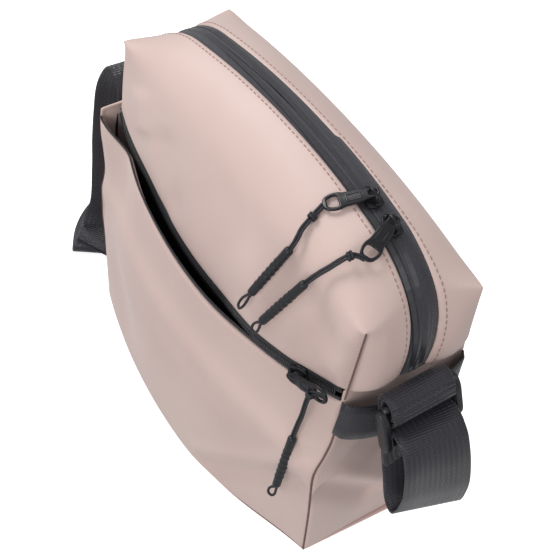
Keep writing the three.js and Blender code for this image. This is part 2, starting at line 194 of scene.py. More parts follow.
# ---- meshes ----
def new_object(name, vertices, faces, material, uvs=None):
    mesh = bpy.data.meshes.new(name)
    corners = [tuple(v) for v in np.asarray(vertices) * MM]
    mesh.from_pydata(corners, [], [tuple(int(i) for i in f) for f in faces])
    mesh.validate()
    if uvs is not None:
        layer = mesh.uv_layers.new(name="UVMap")
        loops = np.array([loop.vertex_index for loop in mesh.loops])
        layer.data.foreach_set("uv", np.asarray(uvs, np.float32)[loops].ravel())
    mesh.shade_smooth()
    mesh.materials.append(material)
    obj = bpy.data.objects.new(name, mesh)
    bpy.context.scene.collection.objects.link(obj)
    return obj


def grid_faces(rows, columns, closed=False):
    i, j = np.meshgrid(np.arange(rows - 1), np.arange(columns if closed else columns - 1), indexing="ij")
    k = (j + 1) % columns
    corners = [i * columns + j, (i + 1) * columns + j, (i + 1) * columns + k, i * columns + k]
    return np.stack(corners, -1).reshape(-1, 4)


def sweep(name, centres, sides, ups, section, material, caps=True):
    """A closed section of (side, up) pairs carried along a line, with UVs in millimetres."""
    section = np.array(section, float)
    points = centres[:, None] + sides[:, None] * section[None, :, :1] + ups[:, None] * section[None, :, 1:]
    rows, columns = len(centres), len(section)
    faces = [tuple(f) for f in grid_faces(rows, columns, closed=True)]
    if caps:
        faces.append(tuple(range(columns)))
        faces.append(tuple(reversed(range((rows - 1) * columns, rows * columns))))
    along = np.concatenate([[0], np.cumsum(np.linalg.norm(np.diff(centres, axis=0), axis=1))])
    uvs = np.stack(np.broadcast_arrays(section[None, :, 0], along[:, None]), -1).reshape(-1, 2)
    obj = new_object(name, points.reshape(-1, 3), faces, material, uvs)
    fix_normals(obj)
    return obj


def fix_normals(obj):
    bm = bmesh.new()
    bm.from_mesh(obj.data)
    bmesh.ops.recalc_face_normals(bm, faces=bm.faces)
    bm.to_mesh(obj.data)
    bm.free()


def modify(obj, kind, **settings):
    modifier = obj.modifiers.new(kind.title(), kind)
    for key, value in settings.items():
        setattr(modifier, key, value)
    return modifier


def vertex_normals(points, quads):
    normals = np.zeros_like(points)
    a, b, c, d = (points[quads[:, k]] for k in range(4))
    face = np.cross(c - a, d - b)
    for k in range(4):
        np.add.at(normals, quads[:, k], face)
    return unit(normals)


def segment_distance(points, a, b):
    """Distance to a segment, and how far along it the nearest point is, 0..1."""
    a, b = np.array(a, float), np.array(b, float)
    line = b - a
    t = np.clip(((points - a) @ line) / (line @ line), 0, 1)
    return np.linalg.norm(points - (a + t[:, None] * line), axis=1), t


def fold(points, line, width, depth, fade=0.25):
    """How far each point sinks into a fold that follows a line and fades at both ends."""
    line = np.array(line, float)
    lengths = np.linalg.norm(np.diff(line, axis=0), axis=1)
    total, start = lengths.sum(), 0.0
    best = np.full(len(points), 1e9)
    where = np.zeros(len(points))
    for k, length in enumerate(lengths):
        d, t = segment_distance(points, line[k], line[k + 1])
        near = d < best
        best[near] = d[near]
        where[near] = (start + t[near] * length) / total
        start += length
    ends = smooth(where, 0, fade) * (1 - smooth(where, 1 - fade, 1)) if fade else 1
    return depth * ends * np.exp(-((best / width) ** 2))


def panel(name, patches, material, relax=0, stiff=None, roll=None, folds=(), cuts=(), thickness=1.8, level=1):
    """One piece of cloth: joined patches, softened, folded, with its edges turned in.

    patches are (rows, columns, 3) point grids wound so that their normals point out."""
    points, quads, lookup = [], [], {}
    for grid in patches:
        rows, columns = grid.shape[:2]
        ids = []
        for p in grid.reshape(-1, 3):
            key = tuple(np.round(p * 20).astype(int))
            if key not in lookup:
                lookup[key] = len(points)
                points.append(p)
            ids.append(lookup[key])
        quads.append(np.array(ids)[grid_faces(rows, columns)])
    points = np.array(points)
    quads = np.concatenate(quads)
    quads = quads[[len(set(q)) > 2 for q in quads]]
    edges = np.concatenate([quads[:, [k, (k + 1) % 4]] for k in range(4)])
    edges = edges[edges[:, 0] != edges[:, 1]]
    keys, counts = np.unique(np.sort(edges, axis=1), axis=0, return_counts=True)
    rim = np.unique(keys[counts == 1])
    free = np.ones(len(points), bool)
    free[rim] = False
    degree = np.zeros(len(points))
    np.add.at(degree, keys.ravel(), 1)
    pull = 0.6 * (stiff(points)[:, None] if stiff else 1)
    for _ in range(relax):
        total = np.zeros_like(points)
        np.add.at(total, keys[:, 0], points[keys[:, 1]])
        np.add.at(total, keys[:, 1], points[keys[:, 0]])
        average = total / degree[:, None]
        points[free] = lerp(points, average, pull)[free]
    for normal, offset, softness in cuts:
        normal = unit(np.array(normal, float))
        over = points @ normal - offset
        points -= normal * (softness * np.logaddexp(0, over / softness))[:, None]
    normals = vertex_normals(points, quads)
    sink = np.zeros(len(points))
    for line, width, depth, *fade in folds:
        sink += fold(points, line, width, depth, *fade)
    if roll:
        tree = kdtree.KDTree(len(rim))
        for k in rim:
            tree.insert(Vector(points[k]), int(k))
        tree.balance()
        for k, p in enumerate(points):
            _, edge, distance = tree.find(Vector(p))
            depth, width = roll(points[edge])
            if distance < width:
                sink[k] += depth * (1 - distance / width) ** 2
    points = points - normals * sink[:, None]
    faces = [tuple(dict.fromkeys(q)) for q in quads.tolist()]
    obj = new_object(name, points, faces, material)
    modify(obj, "SOLIDIFY", thickness=thickness * MM, offset=-1)
    if level:
        modify(obj, "SUBSURF", levels=level, render_levels=level)
    return obj


# ---- materials ----
class Nodes:
    """A small builder for one material's node tree."""

    def __init__(self, name):
        self.material = bpy.data.materials.new(name)
        self.material.use_nodes = True
        self.tree = self.material.node_tree
        self.shader = self.tree.nodes["Principled BSDF"]

    def add(self, kind, inputs=None, **settings):
        node = self.tree.nodes.new(kind)
        for key, value in settings.items():
            setattr(node, key, value)
        for key, value in (inputs or {}).items():
            if isinstance(value, bpy.types.NodeSocket):
                self.tree.links.new(value, node.inputs[key])
            else:
                node.inputs[key].default_value = value
        return node

    def math(self, operation, a, b=0.0):
        return self.add("ShaderNodeMath", {0: a, 1: b}, operation=operation).outputs[0]

    def noise(self, vector, scale, detail=3.0, rough=0.5):
        inputs = {"Vector": vector, "Scale": scale, "Detail": detail, "Roughness": rough}
        return self.add("ShaderNodeTexNoise", inputs).outputs["Fac"]

    def ramp(self, value, *stops):
        node = self.add("ShaderNodeValToRGB", {"Fac": value})
        elements = node.color_ramp.elements
        for k, (position, colour) in enumerate(stops):
            element = elements[k] if k < 2 else elements.new(position)
            element.position = position
            element.color = (*colour, 1)
        return node.outputs["Color"]

    def bump(self, height, strength, distance, normal=None):
        inputs = {"Height": height, "Strength": strength, "Distance": distance}
        if normal is not None:
            inputs["Normal"] = normal
        return self.add("ShaderNodeBump", inputs).outputs["Normal"]

    def place(self):
        return self.add("ShaderNodeTexCoord").outputs["Object"]

    def set(self, **values):
        for key, value in values.items():
            socket = self.shader.inputs[key.replace("_", " ")]
            if isinstance(value, bpy.types.NodeSocket):
                self.tree.links.new(value, socket)
            else:
                socket.default_value = value
        return self.material


def coated_cloth(name, tint=1.0):
    """Soft-touch coated cloth: a fine grain, faint clouding, a velvety sheen."""
    n = Nodes(name)
    place = n.place()
    cloud = n.noise(place, 9.0, 4.0)
    light = tuple(tint * c for c in (0.69, 0.53, 0.485))
    dark = tuple(tint * c for c in (0.62, 0.455, 0.42))
    colour = n.ramp(cloud, (0.32, dark), (0.7, light))
    grain = n.noise(place, 1500.0, 2.0)
    pores = n.add("ShaderNodeTexVoronoi", {"Vector": place, "Scale": 900.0}).outputs["Distance"]
    bump = n.bump(pores, 0.10, 0.0004, n.bump(grain, 0.12, 0.0003))
    rough = n.math("MULTIPLY_ADD", n.noise(place, 40.0), 0.08)
    rough.node.inputs[2].default_value = 0.46
    return n.set(Base_Color=colour, Roughness=rough, Normal=bump, Sheen_Weight=0.25, Sheen_Roughness=0.4)


def ribbed(name, dark, light, across, along, strength, roughness=0.5, sheen=0.3):
    """Woven tape: ribs across its length, broken by the warp, with painted shade darkening the hollows
    between the yarns. Uses the sweep's millimetre UVs.
    """
    n = Nodes(name)
    uv = n.add("ShaderNodeUVMap").outputs["UV"]
    parts = n.add("ShaderNodeSeparateXYZ", {"Vector": uv})
    rows = n.math("SINE", n.math("MULTIPLY", parts.outputs["Y"], 2 * math.pi / along))
    shift = n.math("MULTIPLY", n.math("FLOOR", n.math("DIVIDE", parts.outputs["X"], across)), math.pi)
    yarns = n.math("SINE", n.math("ADD", n.math("MULTIPLY", parts.outputs["X"], 2 * math.pi / across), shift))
    crossings = n.math("MULTIPLY", n.math("MULTIPLY", rows, yarns), 0.5)
    weave = n.math("ADD", n.math("MULTIPLY", rows, 0.7), crossings)
    fuzz = n.noise(n.place(), 700.0, 3.0)
    height = n.math("ADD", weave, n.math("MULTIPLY", fuzz, 0.6))
    # Colour follows the weave's height: the darker hollows and lighter ridges are painted shade; the fuzz
    # part is random tone.
    groove_shade_and_fuzz = n.math("MULTIPLY_ADD", height, 0.25)
    groove_shade_and_fuzz.node.inputs[2].default_value = 0.45
    colour = n.ramp(groove_shade_and_fuzz, (0.1, dark), (0.9, light))
    bump = n.bump(height, strength, 0.0003)
    n.set(Sheen_Weight=sheen, Sheen_Roughness=0.35)
    return n.set(Base_Color=colour, Roughness=roughness, Normal=bump)


def solid(name, colour, roughness, metallic=0.0, grain=300.0, strength=0.15):
    n = Nodes(name)
    place = n.place()
    speck = n.noise(place, grain, 3.0)
    shade = n.ramp(speck, (0.3, tuple(c * 0.85 for c in colour)), (0.7, tuple(c * 1.15 for c in colour)))
    rough = n.math("MULTIPLY_ADD", n.noise(place, grain * 0.2), 0.15)
    rough.node.inputs[2].default_value = roughness - 0.07
    bump = n.bump(speck, strength, 0.0001)
    return n.set(Base_Color=shade, Roughness=rough, Metallic=metallic, Normal=bump)


SHELL = coated_cloth("shell_cloth")
LINING = solid("lining_cloth", (0.012, 0.012, 0.014), 0.85, grain=1200.0, strength=0.4)
TAPE = ribbed("zip_tape", (0.014, 0.014, 0.021), (0.06, 0.06, 0.08), 0.9, 0.9, 0.6)
BLACK_TAPE = ribbed("pocket_tape", (0.008, 0.008, 0.01), (0.02, 0.02, 0.024), 0.8, 0.7, 0.5)
COIL = solid("zip_coil", (0.04, 0.04, 0.046), 0.3)
METAL = solid("black_metal", (0.013, 0.013, 0.017), 0.3, metallic=0.3, grain=500.0, strength=0.08)
WEB = ribbed("webbing", (0.007, 0.007, 0.011), (0.04, 0.039, 0.052), 1.5, 1.3, 0.5, 0.33, 0.2)
CORD = solid("cord_braid", (0.016, 0.017, 0.023), 0.55, grain=1400.0, strength=0.5)
GRIP = solid("grip_rubber", (0.012, 0.013, 0.017), 0.42, grain=260.0)
PLASTIC = solid("adjuster_plastic", (0.016, 0.016, 0.02), 0.36, grain=420.0, strength=0.25)
# Painted shadow: a dark cloth colour for tubes laid in the seams where their shade falls.
PAINTED_CREASE_SHADOW = solid("seam_shadow", (0.17, 0.105, 0.092), 0.9)
THREAD = solid("thread", (0.36, 0.24, 0.21), 0.7, grain=900.0)


# ---- camera, lights, floor ----
def aim_camera():
    azimuth, elevation, roll = (math.radians(a) for a in (52.0, 47.0, 8.3))
    distance, focal, across, up = 830.0, 1424.0, 4.4, 1.0
    level_part = math.cos(elevation)
    back = Vector((math.sin(azimuth) * level_part, -math.cos(azimuth) * level_part, math.sin(elevation)))
    level = (-back).cross(Vector((0, 0, 1))).normalized()
    upright = level.cross(-back)
    right = math.cos(roll) * level + math.sin(roll) * upright
    top = -math.sin(roll) * level + math.cos(roll) * upright
    place = Vector((0, 0, 105)) + right * across + top * up + back * distance
    data = bpy.data.cameras.new("camera")
    data.sensor_width = 36
    data.lens = focal * 36 / 560
    camera = bpy.data.objects.new("camera", data)
    turn = Matrix((right, top, back)).transposed().to_4x4()
    camera.matrix_world = Matrix.Translation(place * MM) @ turn
    bpy.context.scene.collection.objects.link(camera)
    bpy.context.scene.camera = camera


def area_light(name, place, size, power, target=(0, 0, 0.1)):
    data = bpy.data.lights.new(name, "AREA")
    data.size = size
    data.energy = power
    lamp = bpy.data.objects.new(name, data)
    lamp.location = place
    lamp.rotation_euler = (Vector(target) - Vector(place)).to_track_quat("-Z", "Y").to_euler()
    bpy.context.scene.collection.objects.link(lamp)


def light_the_room():
    world = bpy.data.worlds.new("studio")
    world.use_nodes = True
    world.node_tree.nodes["Background"].inputs["Color"].default_value = (1, 1, 1, 1)
    world.node_tree.nodes["Background"].inputs["Strength"].default_value = 0.5
    bpy.context.scene.world = world
    bpy.context.scene.view_settings.view_transform = "Standard"
    area_light("key", (-1.0, -0.35, 1.5), 0.7, 15)
    area_light("fill", (0.8, -1.6, 0.7), 1.0, 12)
    area_light("rim", (1.1, 0.7, 1.3), 0.8, 2.5)


def lay_floor():
    n = Nodes("floor_white")
    n.set(Base_Color=(0.93, 0.93, 0.93, 1), Roughness=0.9)
    n.set(Emission_Color=(1, 1, 1, 1), Emission_Strength=0.75)
    corners = [(-3000, -3000, -0.3), (3000, -3000, -0.3), (3000, 3000, -0.3), (-3000, 3000, -0.3)]
    floor = new_object("floor", corners, [(0, 1, 2, 3)], n.material)
    floor.visible_diffuse = False
    floor.visible_glossy = False


aim_camera()
light_the_room()
lay_floor()


def dress(piece, slot, *nodes, body="bag"):
    """Puts a piece on its body and hides the CAD nodes it stands for. slot, its finish, is not used."""
    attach(piece, body)
    if nodes:
        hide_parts(*nodes)
    return piece


# ---- shell ----
def across_grid(rows, columns, flip=False):
    across = np.linspace(1, -1, rows) if flip else np.linspace(-1, 1, rows)
    return np.meshgrid(across, np.linspace(0, 1, columns), indexing="ij")


def upper_patches(side, low):
    """The face above low(across), the crown, and the strips beside the zip on both ends."""
    a, v = across_grid(101, 25, side > 0)
    face = face_point(a, lerp(low(a), ridge_z(a), v), side)
    crown = crown_point(*across_grid(101, 19, side > 0), side)
    strips = []
    for end in (1, -1):
        leading = end if side < 0 else -end
        u, w = np.meshgrid(np.linspace(0, 1, 19), np.linspace(0, 1, 25), indexing="ij")
        if leading < 0:
            u = 1 - u
        edge_low = low(np.array(float(end)))
        seam = face_point(end, lerp(edge_low, EAR_Z, w), side)
        zip_side = zip_edge(end * lerp(PATH_LENGTH, EAR_DISTANCE, w), side)
        bulge = 4 * np.sin(math.pi * u) * (1 - w**3)
        strip = lerp(seam, zip_side, u[..., None]) + stack(end * bulge, 0, 0)
        strips.append(strip)
    return [face, crown, *strips]


def upper_low(a):
    x = a * HALF_LENGTH
    return line_z(x) + POCKET_EDGE


def seam_roll(edge):
    near_zip = abs(edge[1]) < ZIP_HALF + 3
    return (0.9, 1.6) if near_zip else (2.2, 3.5)


def turned_in(edge):
    """How deep and how wide a lower panel's edge turns in: the same all round."""
    return 1.6, 2.2


def ear_grip(points):
    """Cloth near the ears and their seams softens less than the middle of the ridge."""
    return 1 - 0.93 * smooth(np.abs(points[:, 0]), 92, 119)


DART = [(124, -35.5, 207), (122.5, -37, 190), (121.5, -38, 172), (121.3, -38.6, 158)]


def front_upper():
    patches = upper_patches(-1, upper_low)
    grid = patches[0]
    g = gape(grid[:, :1, 0]) * (1 - np.linspace(0, 1, grid.shape[1])[None] ** 0.7) ** 2
    patches[0] = grid + stack(0, 5.5 * g, -4.0 * g)
    folds = [
        (DART, 2.6, 4.0, 0.12),
        ([(x - 9, y - 1, z) for x, y, z in DART], 8, -2.2),
        ([(x + 1, y + 11, z) for x, y, z in DART], 8, -2.2),
        ([(-124, -35.5, 206), (-121, -38.6, 158)], 2.6, 3.4, 0.12),
        ([(-62, -50, 196), (-48, -54, 168), (-30, -55, 148)], 14, 3.0),
        ([(-95, -44, 196), (-80, -50, 170)], 12, -2.5),
        ([(70, -44, 200), (96, -44, 188), (117, -39, 178)], 9, 2.5),
        ([(20, -52, 180), (60, -50, 168), (100, -42, 170)], 16, -2.5),
    ]
    piece = panel("front_upper", patches, SHELL, 26, ear_grip, seam_roll, folds)
    return dress(piece, "shell", "front_panel_upper")


def back_shell():
    patches = upper_patches(1, lambda a: a * 0 + 160.0)
    a, v = across_grid(101, 41, True)
    z = lerp(foot_z(a * HALF_LENGTH), 160.0, v)
    patches.append(face_point(a, z, 1))
    folds = [
        ([(-70, 44, 150), (0, 48, 120), (60, 46, 128)], 22, 3.0),
        ([(20, 46, 60), (80, 46, 40)], 20, -2.5),
    ]
    piece = panel("back_shell", patches, SHELL, 14, ear_grip, seam_roll, folds)
    return dress(piece, "shell", "back_panel")


def plane_through(a, b, c, softness):
    """A cutting plane for panel(), facing the front."""
    a, b, c = (np.array(p, float) for p in (a, b, c))
    normal = unit(np.cross(b - a, c - a))
    normal = -normal if normal[1] > 0 else normal
    return normal, float(a @ normal), softness


TURN_UNDER = plane_through((121, -49.5, 96), (20, -62.8, 0), (119, -41.8, 11), 0.7)


def pocket_front():
    a, v = across_grid(121, 71)
    x = a * HALF_LENGTH
    top = line_z(x) - POCKET_EDGE
    z = lerp(foot_z(x), top, v)
    grid = face_point(a, z, -1)
    g = gape(x) * smooth(v, 0.6, 1)
    grid = grid + stack(0, -2.5 * g, 1.5 * g) + corner_flare(a, z)
    folds = [
        ([(-118, -50, 110), (-90, -56, 60), (-60, -60, 8)], 20, 2.5),
        ([(120, -50, 103), (70, -57, 54), (24, -63, 9)], 7, -1.6, 0.1),
        ([(118, -49, 84), (70, -57, 36), (34, -62, 1)], 8, 3.0, 0.1),
    ]
    piece = panel("pocket_front", [grid], SHELL, relax=3, roll=turned_in, folds=folds, cuts=[TURN_UNDER])
    dress(piece, "shell", "pocket_panel")


def end_panel(end, name, node):
    u, v = np.meshgrid(np.linspace(0, 1, 41), np.linspace(0, 1, 65), indexing="ij")
    if end < 0:
        u = 1 - u
    z = lerp(foot_z(end * HALF_LENGTH) + 0.3, 160 + 5 * np.sin(math.pi * u), v)
    x = half_x(z) - 1.5 * np.sin(math.pi * u) * smooth(z, 60, 120) - 5 * (1 - smooth(z, 0, 70)) * u
    y = lerp(-seam_y(z), back_y(x, z), u)
    folds = [
        ([(122, -46, 98), (122, -38, 91), (122, 10, 52), (120, 30, 30)], 7, -3.4),
        ([(122, -44, 82), (121, -20, 64), (120, 6, 38)], 9, 5.0, 0.15),
        ([(122, -20, 112), (122, 5, 84)], 12, 2.5),
    ]
    mirrored = [([(end * px, py, pz) for px, py, pz in line], *shape) for line, *shape in folds]
    grid = stack(end * x, y, z)
    cuts = [TURN_UNDER] if end > 0 else []
    if end < 0:
        grid = grid + corner_flare(-1, z) * ((1 - u) ** 2)[..., None]
    piece = panel(name, [grid], SHELL, relax=2, roll=turned_in, folds=mirrored, cuts=cuts)
    dress(piece, "shell", node)


def base():
    a, v = np.meshgrid(np.linspace(-1, 1, 81), np.linspace(1, 0, 31), indexing="ij")
    x = a * half_x(foot_z(a * HALF_LENGTH))
    z = foot_z(x)
    grid = stack(x, lerp(front_y(x, z), back_y(x, z), v), z)
    piece = panel("base", [grid], SHELL, roll=lambda e: (0.8, 2.5), cuts=[TURN_UNDER])
    dress(piece, "shell", "base_panel")


FRONT_UPPER = front_upper()
BACK_SHELL = back_shell()
pocket_front()
end_panel(1, "end_right", "side_panel_right")
end_panel(-1, "end_left", "side_panel_left")
base()


# ---- stitching ----
def capsule(length, radius, sides=6):
    """Points and faces of a small round-ended rod along X."""
    rings = [(-0.5, 0.15), (-0.38, 0.8), (0, 1.0), (0.38, 0.8), (0.5, 0.15)]
    angle = np.arange(sides) * 2 * math.pi / sides
    circle = stack(0, radius * np.cos(angle), radius * np.sin(angle))
    points = [circle * r + (s * length, 0, 0) for s, r in rings]
    faces = [tuple(f) for f in grid_faces(len(rings), sides, closed=True)]
    last = (len(rings) - 1) * sides
    faces += [tuple(range(sides)), tuple(range(last + sides - 1, last - 1, -1))]
    return np.concatenate(points), faces


def scatter(name, shape, places, material):
    """Many copies of one small shape in one mesh. places are (origin, x, y, z) vectors."""
    points, faces = shape
    all_points, all_faces = [], []
    for k, (origin, x, y, z) in enumerate(places):
        all_points.append(origin + points[:, :1] * x + points[:, 1:2] * y + points[:, 2:] * z)
        all_faces += [tuple(int(i) + k * len(points) for i in face) for face in faces]
    obj = new_object(name, np.concatenate(all_points), all_faces, material)
    fix_normals(obj)
    return obj


def resample(line, pitch):
    line = np.array(line, float)
    along = np.concatenate([[0], np.cumsum(np.linalg.norm(np.diff(line, axis=0), axis=1))])
    count = max(2, int(round(along[-1] / pitch)) + 1)
    s = np.linspace(0, along[-1], count)
    return np.stack([np.interp(s, along, line[:, k]) for k in range(3)], -1)


def stitch_row(name, cloth, line, pitch=3.6, length=2.5):
    """Thread lying along a line on a piece of cloth."""
    shown = cloth.evaluated_get(bpy.context.evaluated_depsgraph_get())
    centres = resample(line, pitch)
    tangents = unit(np.gradient(centres, axis=0))
    places = []
    for p, t in zip(centres, tangents):
        _, spot, normal, _ = shown.closest_point_on_mesh(Vector(p * MM))
        normal = np.array(normal)
        side = unit(np.cross(normal, t))
        places.append((np.array(spot) / MM + normal * 0.02, t, side, np.cross(t, side)))
    return dress(scatter(name, capsule(length, 0.38), places, THREAD), "shell")


def zip_line(offset, lift=0.0, rows=180, inset=0.0):
    """The main zip's line, moved sideways by offset and out by lift."""
    s = np.linspace(-PATH_LENGTH + inset, PATH_LENGTH - inset, rows)
    x, z, angle = zip_path(s)
    centre = stack(x, zip_drift(s) + offset, z)
    up = stack(np.sin(angle), 0, np.cos(angle))
    return centre + lift * up, up


STITCH_OUT = ZIP_HALF + 4.2
for name, cloth, side in (("front", FRONT_UPPER, -1), ("back", BACK_SHELL, 1)):
    stitch_row(f"zip_stitching_{name}", cloth, zip_line(side * STITCH_OUT, 3.0)[0])


# ---- main zip ----
def tape_section(side):
    """A tape half with the woven bead that covers the coil."""
    top = [(0.12, -1.0), (0.5, -0.55), (1.6, -0.38), (2.9, -0.5), (3.5, -0.95), (4.2, -1.1), (9.4, -1.25)]
    return [(side * a, b) for a, b in top + [(9.4, -1.7), (0.12, -1.7)]]


for name, side in (("front", -1), ("back", 1)):
    centre, up = zip_line(0, rows=220)
    sideways = np.tile([0.0, 1.0, 0.0], (len(centre), 1))
    half = sweep(f"zip_tape_{name}", centre, sideways, up, tape_section(side), TAPE)
    dress(half, "zip_tape", f"main_zip_tape_{name}")
for name in ("main_zip_coil_front", "main_zip_coil_back"):
    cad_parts[name].data.materials.clear()
    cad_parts[name].data.materials.append(COIL)


# ---- pocket zip ----
LEAN_AXIS = np.array([0, -math.sin(POCKET_LEAN), math.cos(POCKET_LEAN)])


def turn_about(v, axis, angle):
    angle = np.asarray(angle, float)[..., None]
    along = (v @ axis)[..., None] * axis
    return v * np.cos(angle) + np.cross(axis, v) * np.sin(angle) + along * (1 - np.cos(angle))


def pocket_rail(x, which=0):
    """Centre, side and up vectors of the pocket zip.

    which is -1 for its lower half and 1 for its upper half. The two part where the pocket gapes."""
    x = np.atleast_1d(np.asarray(x, float))
    chord = math.sqrt(POCKET_R**2 - HALF_LENGTH**2)
    lean = np.array([0, -math.cos(POCKET_LEAN), -math.sin(POCKET_LEAN)])
    centre = np.array([0, -38.6, POCKET_Z]) - chord * lean
    angle = np.arcsin(x / POCKET_R)
    flat = np.ones((len(x), 1))
    p = centre + turn_about(POCKET_R * lean * flat, LEAN_AXIS, angle)
    side = turn_about(np.array([0, 0, 1.0]) * flat, LEAN_AXIS, angle)
    up = turn_about(np.array([0, -1.0, 0]) * flat, LEAN_AXIS, angle)
    g = gape(x)
    if which < 0:
        p = p + stack(0, -2.5 * g, 1.5 * g) + corner_flare(x / HALF_LENGTH, line_z(x))
    if which > 0:
        p = p + stack(0, 5.5 * g, -4.0 * g)
    return p, side, up


TOOTH_PITCH = 1.3
for name, which in (("lower", -1), ("upper", 1)):
    xs = np.arange(-118, 116, TOOTH_PITCH) + (TOOTH_PITCH / 2 if which > 0 else 0)
    p, side, up = pocket_rail(xs, which)
    tangent = unit(np.cross(side, up))
    roots = p + which * 1.25 * side - 0.15 * up
    places = list(zip(roots, side, tangent, up))
    teeth = scatter(f"pocket_teeth_{name}", capsule(2.9, 0.52), places, COIL)
    dress(teeth, "zip_coil", f"pocket_zip_coil_{name}")
    p, side, up = pocket_rail(np.linspace(-120, 119, 90), which)
    section = [(which * a, b) for a, b in [(1.7, -0.5), (2.6, -0.55), (6.5, -1.5), (6.5, -2.0), (1.7, -1.0)]]
    tape = sweep(f"pocket_tape_{name}", p, side, up, section, BLACK_TAPE)
    dress(tape, "zip_tape", f"pocket_zip_tape_{name}")
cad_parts["pocket_back_wall"].data.materials.clear()
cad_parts["pocket_back_wall"].data.materials.append(LINING)


# ---- plates and tubes ----
def rounded(corners, radius, steps=4):
    """A closed outline with each corner turned into a short curve."""
    corners = [Vector(c) for c in corners]
    points = []
    for k, c in enumerate(corners):
        before, after = corners[k - 1], corners[(k + 1) % len(corners)]
        reach_in = min(radius, (before - c).length * 0.45)
        reach_out = min(radius, (after - c).length * 0.45)
        a = c + (before - c).normalized() * reach_in
        b = c + (after - c).normalized() * reach_out
        for t in np.linspace(0, 1, steps + 1):
            points.append((1 - t) ** 2 * a + 2 * t * (1 - t) * c + t * t * b)
    return points


def both_sides(half):
    """A whole outline from its right half."""
    return half + [(-x, y) for x, y in reversed(half)]


def poly_spline(data, points):
    """A straight-sided spline through points in millimetres, flat ones at Z = 0."""
    spline = data.splines.new("POLY")
    spline.points.add(len(points) - 1)
    for point, p in zip(spline.points, points):
        x, y, z = (*p, 0)[:3]
        point.co = (x * MM, y * MM, z * MM, 1)
    return spline


def plate(name, outlines, thickness, bevel, material, place):
    """A flat plate with holes. The first outline is its edge; its middle plane is Z = 0 before placing."""
    data = bpy.data.curves.new(name, "CURVE")
    data.dimensions = "2D"
    data.fill_mode = "BOTH"
    data.extrude = (thickness / 2 - bevel) * MM
    data.bevel_depth = bevel * MM
    data.bevel_resolution = 2
    data.offset = -bevel * MM
    for outline in outlines:
        poly_spline(data, outline).use_cyclic_u = True
    drawn = bpy.data.objects.new(name, data)
    mesh = bpy.data.meshes.new_from_object(drawn)
    bpy.data.objects.remove(drawn)
    moved = place.copy()
    moved.translation = moved.translation * MM
    mesh.transform(moved)
    mesh.materials.clear()
    mesh.materials.append(material)
    mesh.shade_smooth()
    mesh.set_sharp_from_angle(angle=math.radians(42))
    obj = bpy.data.objects.new(name, mesh)
    bpy.context.scene.collection.objects.link(obj)
    bm = bmesh.new()
    bm.from_mesh(mesh)
    bmesh.ops.remove_doubles(bm, verts=bm.verts, dist=1e-6)
    bm.to_mesh(mesh)
    bm.free()
    return obj


def smooth_line(line, steps, closed=False):
    """A smooth curve through points, as a polyline."""
    line = np.array(line, float)
    if closed:
        line = np.concatenate([line, line[:1]])
        first, last = line[-2], line[1]
    else:
        first, last = 2 * line[0] - line[1], 2 * line[-1] - line[-2]
    padded = np.concatenate([[first], line, [last]])
    out = []
    for k in range(1, len(padded) - 2):
        a, b, c, d = padded[k - 1 : k + 3]
        leaving, arriving = (c - a) / 2, (d - b) / 2
        for t in np.arange(steps) / steps:
            out.append((2 * t**3 - 3 * t**2 + 1) * b + (t**3 - 2 * t**2 + t) * leaving
                       + (3 * t**2 - 2 * t**3) * c + (t**3 - t**2) * arriving)
    out.append(padded[-2])
    return np.array(out)


def tube(name, line, radius, material, place=Matrix(), sides=10, flat=1.0, closed=False):
    """A round tube along a smooth line through the given points."""
    points = np.array([place @ Vector(p) for p in smooth_line(line, 5, closed)])
    tangents = unit(np.gradient(points, axis=0))
    side = np.cross(tangents[0], [0.3, 0.2, 0.9])
    across = []
    for t in tangents:
        side = unit(side - t * (side @ t))
        across.append(side)
    across = np.array(across)
    angle = np.arange(sides) * 2 * math.pi / sides
    section = np.stack([radius * np.cos(angle), flat * radius * np.sin(angle)], -1)
    return sweep(name, points, across, np.cross(tangents, across), section, material)


# ---- sliders and pulls ----
# Drawn lying on a flat zip: X is the travel, -Y the way the pull lies, Z out of the bag.
PIVOT = 5.3
RING_END = 25.6
SHIELD = [(-6.4, -2.4), (-6.4, 2.4), (-1.5, 4.6), (4.6, 4.7), (6.4, 3.0), (6.4, -3.0), (4.6, -4.7),
          (-1.5, -4.6)]
BRIDGE_HALF = [(-4.2, 1.4), (-4.1, 3.6), (-3.2, 5.4), (-1.2, 6.1)]
PULL_HALF = [(2.2, 3.0), (3.0, 1.6), (3.1, -3.5), (4.0, -6.0), (4.2, -15.2), (5.0, -17.2), (5.3, -20.5),
             (4.0, -24.6), (1.6, -26.2)]
EYE = [(1.5, 1.6), (1.5, -2.6), (-1.5, -2.6), (-1.5, 1.6)]
RING_HOLE = [(3.3, -18.0), (3.5, -20.8), (2.4, -23.8), (-2.4, -23.8), (-3.5, -20.8), (-3.3, -18.0)]
RIM_EDGE = [(2.3, -6.2), (2.3, -14.2), (-2.3, -14.2), (-2.3, -6.2)]
RIM_HOLE = [(1.5, -7.0), (1.5, -13.4), (-1.5, -13.4), (-1.5, -7.0)]


def main_place(tag):
    x = SLIDER_X[tag]
    distance = CROWN_R * math.asin(x / CROWN_R)
    px, pz, angle = (float(v) for v in zip_path(distance))
    return Matrix.Translation((px, float(zip_drift(distance)), pz)) @ Matrix.Rotation(angle, 4, "Y")


def pocket_place():
    p, side, up = (v[0] for v in pocket_rail(SLIDER_X["pocket"]))
    travel = np.cross(side, up)
    turn = Matrix((travel, side, up)).transposed().to_4x4()
    return Matrix.Translation(p) @ turn


